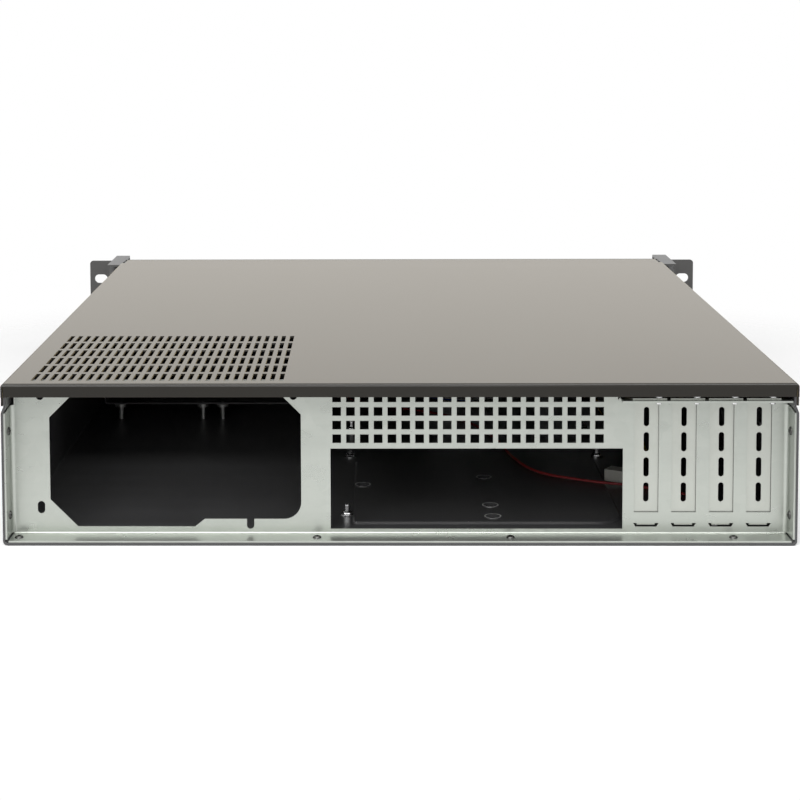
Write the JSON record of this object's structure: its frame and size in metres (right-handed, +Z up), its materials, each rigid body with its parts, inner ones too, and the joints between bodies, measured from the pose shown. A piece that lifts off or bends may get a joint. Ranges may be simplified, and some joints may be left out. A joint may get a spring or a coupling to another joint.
{
  "type": "empty rackmount server case",
  "caption": "Two-unit rackmount server case, empty, with vented lift-off cover, rear connector panel, expansion slot covers, drive cage and handled rack ears.",
  "frame": {"origin": "centre of the whole case's footprint, on the underside of the base", "axes": "+Z up, -Y towards the front with the rack ears and handles, +Y towards the connector side, X across the case"},
  "size_m": [0.4826, 0.512, 0.088],
  "materials": {
    "black_paint": "satin black powder coat",
    "grey_paint": "satin dark grey powder coat",
    "galvanised": "plain galvanised sheet",
    "bright_steel": "bright plated sheet",
    "zinc_screw": "zinc plated",
    "black_screw": "black oxide",
    "black_plastic": "moulded",
    "ivory_plastic": "moulded",
    "board_green": "solder mask",
    "led_lens": "clear",
    "red_wire": "wire insulation",
    "blue_wire": "wire insulation",
    "yellow_wire": "wire insulation"
  },
  "bodies": {
    "case": {"base_tray": "black_paint", "rear_panel": "galvanised", "slot_cover_1": "bright_steel", "slot_cover_2": "bright_steel", "slot_cover_3": "bright_steel", "slot_cover_4": "bright_steel", "slot_cover_screws": "zinc_screw", "rear_rivets": "black_screw", "board_standoffs": "zinc_screw", "front_frame": "black_paint", "front_panel": "black_paint", "drive_bay_blank": "black_plastic", "rack_ear_left": "grey_paint", "rack_ear_right": "grey_paint", "ear_screws": "black_screw", "drive_cage": "black_paint", "cage_pillars": "zinc_screw", "cage_rails": "black_paint", "fan_frame_1": "black_plastic", "fan_frame_2": "black_plastic", "fan_screws": "black_screw", "control_board": "board_green", "board_spacers": "zinc_screw", "power_switch": "black_plastic", "reset_switch": "black_plastic", "indicator_leds": "led_lens", "usb_sockets": "bright_steel", "board_header": "ivory_plastic", "power_lead": "red_wire", "power_plug": "black_plastic", "led_lead": "blue_wire", "led_plug": "black_plastic", "fan_lead": "yellow_wire", "fan_plug": "ivory_plastic"},
    "cover": {"top_cover": "grey_paint", "cover_screws": "black_screw"},
    "power_button": {"power_button": "black_plastic"},
    "reset_button": {"reset_button": "black_plastic"},
    "fan_rotor_1": {"fan_rotor_1": "black_plastic"},
    "fan_rotor_2": {"fan_rotor_2": "black_plastic"}
  },
  "joints": [
    {"name": "cover_lift", "type": "slide", "parent": "case", "child": "cover", "axis": [0, 0, 1], "range_m": [0, 0.12]},
    {"name": "power_press", "type": "slide", "parent": "case", "child": "power_button", "axis": [0, 1, 0], "range_m": [0, 0.002], "stiffness_N_per_m": 400},
    {"name": "reset_press", "type": "slide", "parent": "case", "child": "reset_button", "axis": [0, 1, 0], "range_m": [0, 0.0015], "stiffness_N_per_m": 400},
    {"name": "fan_spin_1", "type": "hinge", "parent": "case", "child": "fan_rotor_1", "pos_m": [-0.152, -0.21, 0.044], "axis": [0, 1, 0], "continuous": true},
    {"name": "fan_spin_2", "type": "hinge", "parent": "case", "child": "fan_rotor_2", "pos_m": [-0.068, -0.21, 0.044], "axis": [0, 1, 0], "continuous": true}
  ]
}
